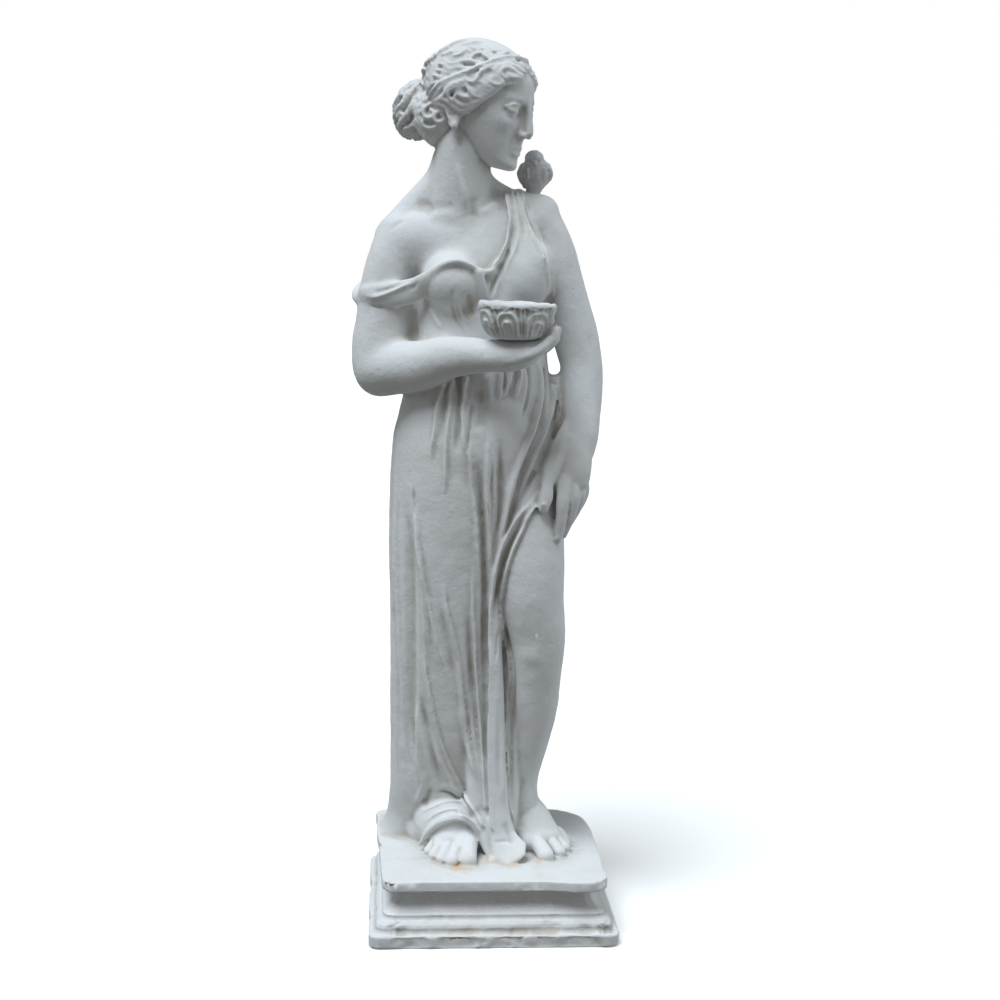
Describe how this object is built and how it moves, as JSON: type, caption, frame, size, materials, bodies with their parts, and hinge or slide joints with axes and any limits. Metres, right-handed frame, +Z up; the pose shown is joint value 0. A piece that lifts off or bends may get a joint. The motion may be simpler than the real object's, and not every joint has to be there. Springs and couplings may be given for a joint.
{
  "type": "statue birdbath",
  "caption": "Cast stone garden statue of a draped goddess with a bird on her shoulder, holding a small leaf-carved bowl as a bird bath, on a moulded oblong plinth.",
  "frame": {"origin": "middle of the plinth's underside, on the ground", "axes": "+Z up; the figure faces -Y, so its own left is +X"},
  "size_m": [0.3686, 0.3118, 1.1992],
  "materials": {
    "figure_stone": "matt weathered white cast stone",
    "bowl_stone": "matt weathered white cast stone",
    "bird_stone": "matt weathered cast stone, a little greyer",
    "plinth_stone": "matt weathered white cast stone"
  },
  "bodies": {
    "root": {"figure": "figure_stone", "bowl": "bowl_stone", "bird": "bird_stone", "plinth": "plinth_stone"}
  },
  "joints": []
}
